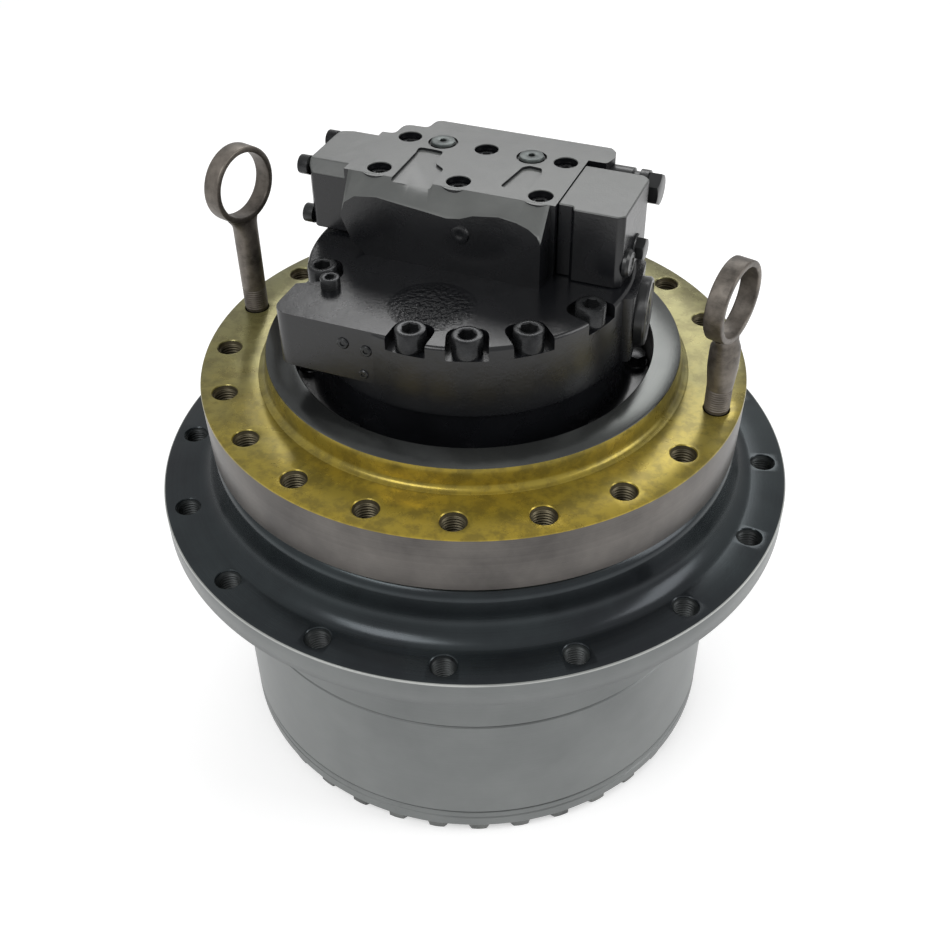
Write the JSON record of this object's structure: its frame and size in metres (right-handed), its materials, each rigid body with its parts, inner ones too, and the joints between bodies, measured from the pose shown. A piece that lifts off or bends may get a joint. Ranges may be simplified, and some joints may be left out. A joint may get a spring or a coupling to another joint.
{
  "type": "excavator final drive",
  "caption": "Travel final drive: sprocket hub with planetary gears inside, on a bolted spindle that carries a hydraulic motor and brake valve.",
  "frame": {"origin": "centre of the machined face that bolts to the track frame", "axes": "+Z along the axis of rotation, from the drum towards the motor; +X to the right of the picture's camera and +Y away from it"},
  "size_m": [0.6399, 0.64, 0.612],
  "materials": {
    "flange_gold": "worn olive gold paint on a machined flange",
    "hub_grey": "satin grey primer over cast iron",
    "motor_black": "satin black paint over a rough casting",
    "valve_grey": "satin charcoal paint over a rough casting",
    "port_cap": "satin black paint",
    "black_screw": "black oxide, painted over",
    "plug_steel": "phosphated steel",
    "bolt_steel": "zinc plated, dulled",
    "eye_steel": "bare steel with a brown film of rust",
    "bearing_steel": "ground steel",
    "gear_steel": "case-hardened steel, ground"
  },
  "bodies": {
    "fixed_body": {"mounting_spindle": "flange_gold", "carrier_2": "gear_steel", "lifting_eyes": "eye_steel", "motor_case": "motor_black", "motor_flange_screws": "black_screw", "rear_cover": "motor_black", "rear_cover_screws": "black_screw", "servo_cover_screw": "black_screw", "port_cap": "port_cap", "brake_valve_body": "valve_grey", "valve_screws": "black_screw", "gallery_plugs": "plug_steel", "spool_end_cap": "valve_grey", "end_cap_screws": "black_screw", "relief_block": "valve_grey", "relief_cartridge": "plug_steel"},
    "drum": {"sprocket_hub": "hub_grey", "ring_gear": "hub_grey", "end_cover": "hub_grey", "cover_bolts": "bolt_steel", "oil_plugs": "bolt_steel", "main_bearing": "bearing_steel", "face_seal_ring": "bearing_steel"},
    "first_carrier": {"carrier_1": "gear_steel", "sun_gear_2": "gear_steel"},
    "drive_shaft": {"sun_gear_1_shaft": "gear_steel"},
    "planet_1a": {"planet_gear_1a": "gear_steel"},
    "planet_2a": {"planet_gear_2a": "gear_steel"},
    "planet_1b": {"planet_gear_1b": "gear_steel"},
    "planet_2b": {"planet_gear_2b": "gear_steel"},
    "planet_1c": {"planet_gear_1c": "gear_steel"},
    "planet_2c": {"planet_gear_2c": "gear_steel"}
  },
  "joints": [
    {"name": "drum_spin", "type": "hinge", "parent": "fixed_body", "child": "drum", "pos_m": [0, 0, 0], "axis": [0, 0, 1], "continuous": true},
    {"name": "carrier_1_spin", "type": "hinge", "parent": "fixed_body", "child": "first_carrier", "pos_m": [0, 0, 0], "axis": [0, 0, 1], "continuous": true},
    {"name": "drive_shaft_spin", "type": "hinge", "parent": "fixed_body", "child": "drive_shaft", "pos_m": [0, 0, 0], "axis": [0, 0, 1], "continuous": true},
    {"name": "planet_1a_spin", "type": "hinge", "parent": "first_carrier", "child": "planet_1a", "pos_m": [0.135, 0, -0.362], "axis": [0, 0, 1], "continuous": true},
    {"name": "planet_2a_spin", "type": "hinge", "parent": "fixed_body", "child": "planet_2a", "pos_m": [0.135, 0, -0.283], "axis": [0, 0, 1], "continuous": true},
    {"name": "planet_1b_spin", "type": "hinge", "parent": "first_carrier", "child": "planet_1b", "pos_m": [-0.0675, 0.11691, -0.362], "axis": [0, 0, 1], "continuous": true},
    {"name": "planet_2b_spin", "type": "hinge", "parent": "fixed_body", "child": "planet_2b", "pos_m": [-0.0675, 0.11691, -0.283], "axis": [0, 0, 1], "continuous": true},
    {"name": "planet_1c_spin", "type": "hinge", "parent": "first_carrier", "child": "planet_1c", "pos_m": [-0.0675, -0.11691, -0.362], "axis": [0, 0, 1], "continuous": true},
    {"name": "planet_2c_spin", "type": "hinge", "parent": "fixed_body", "child": "planet_2c", "pos_m": [-0.0675, -0.11691, -0.283], "axis": [0, 0, 1], "continuous": true}
  ],
  "couplings": [
    {"joint": "carrier_1_spin", "follows": "drum_spin", "ratio": -3.5},
    {"joint": "drive_shaft_spin", "follows": "drum_spin", "ratio": -19.25},
    {"joint": "planet_1a_spin", "follows": "drum_spin", "ratio": 12.6},
    {"joint": "planet_2a_spin", "follows": "drum_spin", "ratio": 2.8},
    {"joint": "planet_1b_spin", "follows": "drum_spin", "ratio": 12.6},
    {"joint": "planet_2b_spin", "follows": "drum_spin", "ratio": 2.8},
    {"joint": "planet_1c_spin", "follows": "drum_spin", "ratio": 12.6},
    {"joint": "planet_2c_spin", "follows": "drum_spin", "ratio": 2.8}
  ]
}
